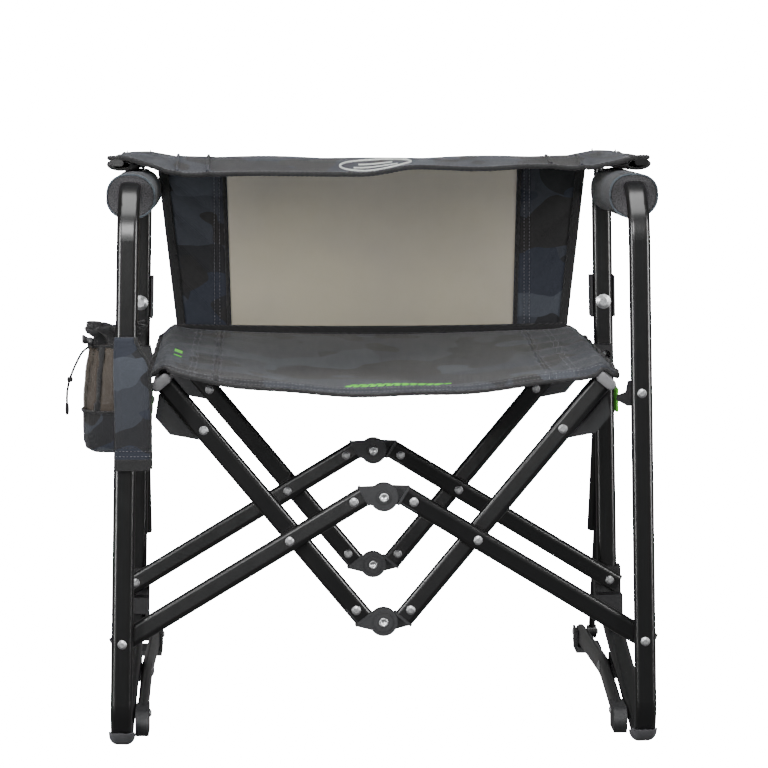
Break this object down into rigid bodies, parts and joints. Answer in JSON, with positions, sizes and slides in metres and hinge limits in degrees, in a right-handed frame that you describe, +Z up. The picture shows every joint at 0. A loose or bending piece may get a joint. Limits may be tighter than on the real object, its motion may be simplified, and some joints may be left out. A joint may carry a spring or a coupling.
{
  "type": "folding rocking chair",
  "caption": "Folding camp rocking chair: flat-oval steel side frames on rocking ground bars, scissor links, sling seat, mesh back and a fold-down upper backrest.",
  "frame": {"origin": "middle of the ground under the chair, at the centre of its bounding box", "axes": "+X to the sitter's left as seen from the front on the right, +Y from the front legs to the rear, +Z up"},
  "size_m": [0.6805, 0.6365, 0.6772],
  "materials": {
    "steel": "semi-gloss black powder coat",
    "aged_steel": "zinc plated",
    "moulding": "matt moulded",
    "green_plastic": "matt moulded",
    "rubber": "matt",
    "pad_fabric": "woven",
    "camo_fabric": "woven, printed",
    "mesh_fabric": "open mesh",
    "pocket_fabric": "woven",
    "cord": "braided"
  },
  "bodies": {
    "left_base": {"left_ground_bar": "steel", "left_glide_foot": "moulding", "left_rear_foot": "moulding", "left_ground_bolts": "aged_steel"},
    "left_frame": {"left_side_frame": "steel", "left_front_foot_pad": "rubber", "left_arm_pad": "pad_fabric", "left_corner_bracket": "moulding", "left_rail_saddles": "moulding", "left_rocker_block": "moulding", "left_frame_bolts": "aged_steel", "left_strut_hub": "green_plastic", "left_back_bracket": "moulding", "left_back_post": "steel", "cup_holder": "pocket_fabric", "phone_pocket": "pocket_fabric", "cup_drawstring": "cord", "back_panel": "mesh_fabric"},
    "left_back": {"left_back_arm": "steel", "back_flap": "camo_fabric"},
    "left_strut": {"left_strut_tube": "steel"},
    "left_rod": {"left_strut_rod": "steel"},
    "left_links": {"left_front_link": "steel", "left_rear_link": "steel", "left_upper_hubs": "moulding", "left_link_rivets": "aged_steel"},
    "left_cross": {"left_front_diagonal": "steel", "left_rear_diagonal": "steel", "left_lower_hubs": "moulding", "left_cross_rivets": "aged_steel", "left_seat_rail": "steel", "left_gussets": "steel", "seat_sling": "camo_fabric"},
    "right_base": {"right_ground_bar": "steel", "right_glide_foot": "moulding", "right_rear_foot": "moulding", "right_ground_bolts": "aged_steel"},
    "right_frame": {"right_side_frame": "steel", "right_front_foot_pad": "rubber", "right_arm_pad": "pad_fabric", "right_corner_bracket": "moulding", "right_rail_saddles": "moulding", "right_rocker_block": "moulding", "right_frame_bolts": "aged_steel", "right_strut_hub": "green_plastic", "right_back_bracket": "moulding", "right_back_post": "steel"},
    "right_back": {"right_back_arm": "steel"},
    "right_strut": {"right_strut_tube": "steel"},
    "right_rod": {"right_strut_rod": "steel"},
    "right_links": {"right_front_link": "steel", "right_rear_link": "steel", "right_upper_hubs": "moulding", "right_link_rivets": "aged_steel"},
    "right_cross": {"right_front_diagonal": "steel", "right_rear_diagonal": "steel", "right_lower_hubs": "moulding", "right_cross_rivets": "aged_steel", "right_seat_rail": "steel", "right_gussets": "steel"}
  },
  "joints": [
    {"name": "rock", "type": "hinge", "parent": "left_base", "child": "left_frame", "pos_m": [-0.276, -0.0138, 0.039], "axis": [-1, 0, 0], "range_deg": [0, 8], "stiffness_Nm_per_rad": 260, "springref_deg": -3.44},
    {"name": "fold", "type": "hinge", "parent": "left_frame", "child": "left_links", "pos_m": [-0.286, -0.2838, 0.127], "axis": [0, -1, 0], "range_deg": [0, 40], "deforming": ["seat_sling", "back_panel", "back_flap"]},
    {"name": "link_centre", "type": "hinge", "parent": "left_links", "child": "right_links", "pos_m": [0.014, -0.2838, 0.2936], "axis": [0, -1, 0], "range_deg": [-84, 4]},
    {"name": "right_leg_pivot", "type": "hinge", "parent": "right_links", "child": "right_frame", "pos_m": [0.314, -0.2838, 0.127], "axis": [0, -1, 0], "range_deg": [-3, 43]},
    {"name": "left_crossing", "type": "hinge", "parent": "left_links", "child": "left_cross", "pos_m": [-0.0941, -0.2768, 0.24333], "axis": [0, -1, 0], "range_deg": [-70.76, 3]},
    {"name": "right_crossing", "type": "hinge", "parent": "right_links", "child": "right_cross", "pos_m": [0.1221, -0.2768, 0.24333], "axis": [0, -1, 0], "range_deg": [-3, 70.76]},
    {"name": "rock_right", "type": "hinge", "parent": "right_frame", "child": "right_base", "pos_m": [0.304, -0.0138, 0.039], "axis": [-1, 0, 0], "range_deg": [-8.5, 0.5], "stiffness_Nm_per_rad": 260, "springref_deg": 3.44},
    {"name": "backrest_fold", "type": "hinge", "parent": "left_frame", "child": "left_back", "pos_m": [-0.2744, 0.1612, 0.655], "axis": [-1, 0, 0], "range_deg": [0, 100]},
    {"name": "backrest_fold_right", "type": "hinge", "parent": "right_frame", "child": "right_back", "pos_m": [0.3024, 0.1612, 0.655], "axis": [-1, 0, 0], "range_deg": [-2, 102]},
    {"name": "left_strut_pivot", "type": "hinge", "parent": "left_frame", "child": "left_strut", "pos_m": [-0.282, 0.1652, 0.352], "axis": [-1, 0, 0], "range_deg": [-3.76, 1]},
    {"name": "right_strut_pivot", "type": "hinge", "parent": "right_frame", "child": "right_strut", "pos_m": [0.31, 0.1652, 0.352], "axis": [-1, 0, 0], "range_deg": [-3.76, 1]},
    {"name": "left_rod_pivot", "type": "hinge", "parent": "left_base", "child": "left_rod", "pos_m": [-0.282, 0.2942, 0.024], "axis": [-1, 0, 0], "range_deg": [-1, 6.24]},
    {"name": "right_rod_pivot", "type": "hinge", "parent": "right_base", "child": "right_rod", "pos_m": [0.31, 0.2942, 0.024], "axis": [-1, 0, 0], "range_deg": [-1, 6.24]}
  ],
  "couplings": [
    {"joint": "link_centre", "follows": "fold", "ratio": -2},
    {"joint": "right_leg_pivot", "follows": "fold", "ratio": 1},
    {"joint": "left_crossing", "follows": "fold", "ratio": -1.694},
    {"joint": "right_crossing", "follows": "fold", "ratio": 1.694},
    {"joint": "rock_right", "follows": "rock", "ratio": -1},
    {"joint": "backrest_fold_right", "follows": "backrest_fold", "ratio": 1},
    {"joint": "left_strut_pivot", "follows": "rock", "ratio": -0.345},
    {"joint": "right_strut_pivot", "follows": "rock", "ratio": -0.345},
    {"joint": "left_rod_pivot", "follows": "rock", "ratio": 0.655},
    {"joint": "right_rod_pivot", "follows": "rock", "ratio": 0.655}
  ]
}
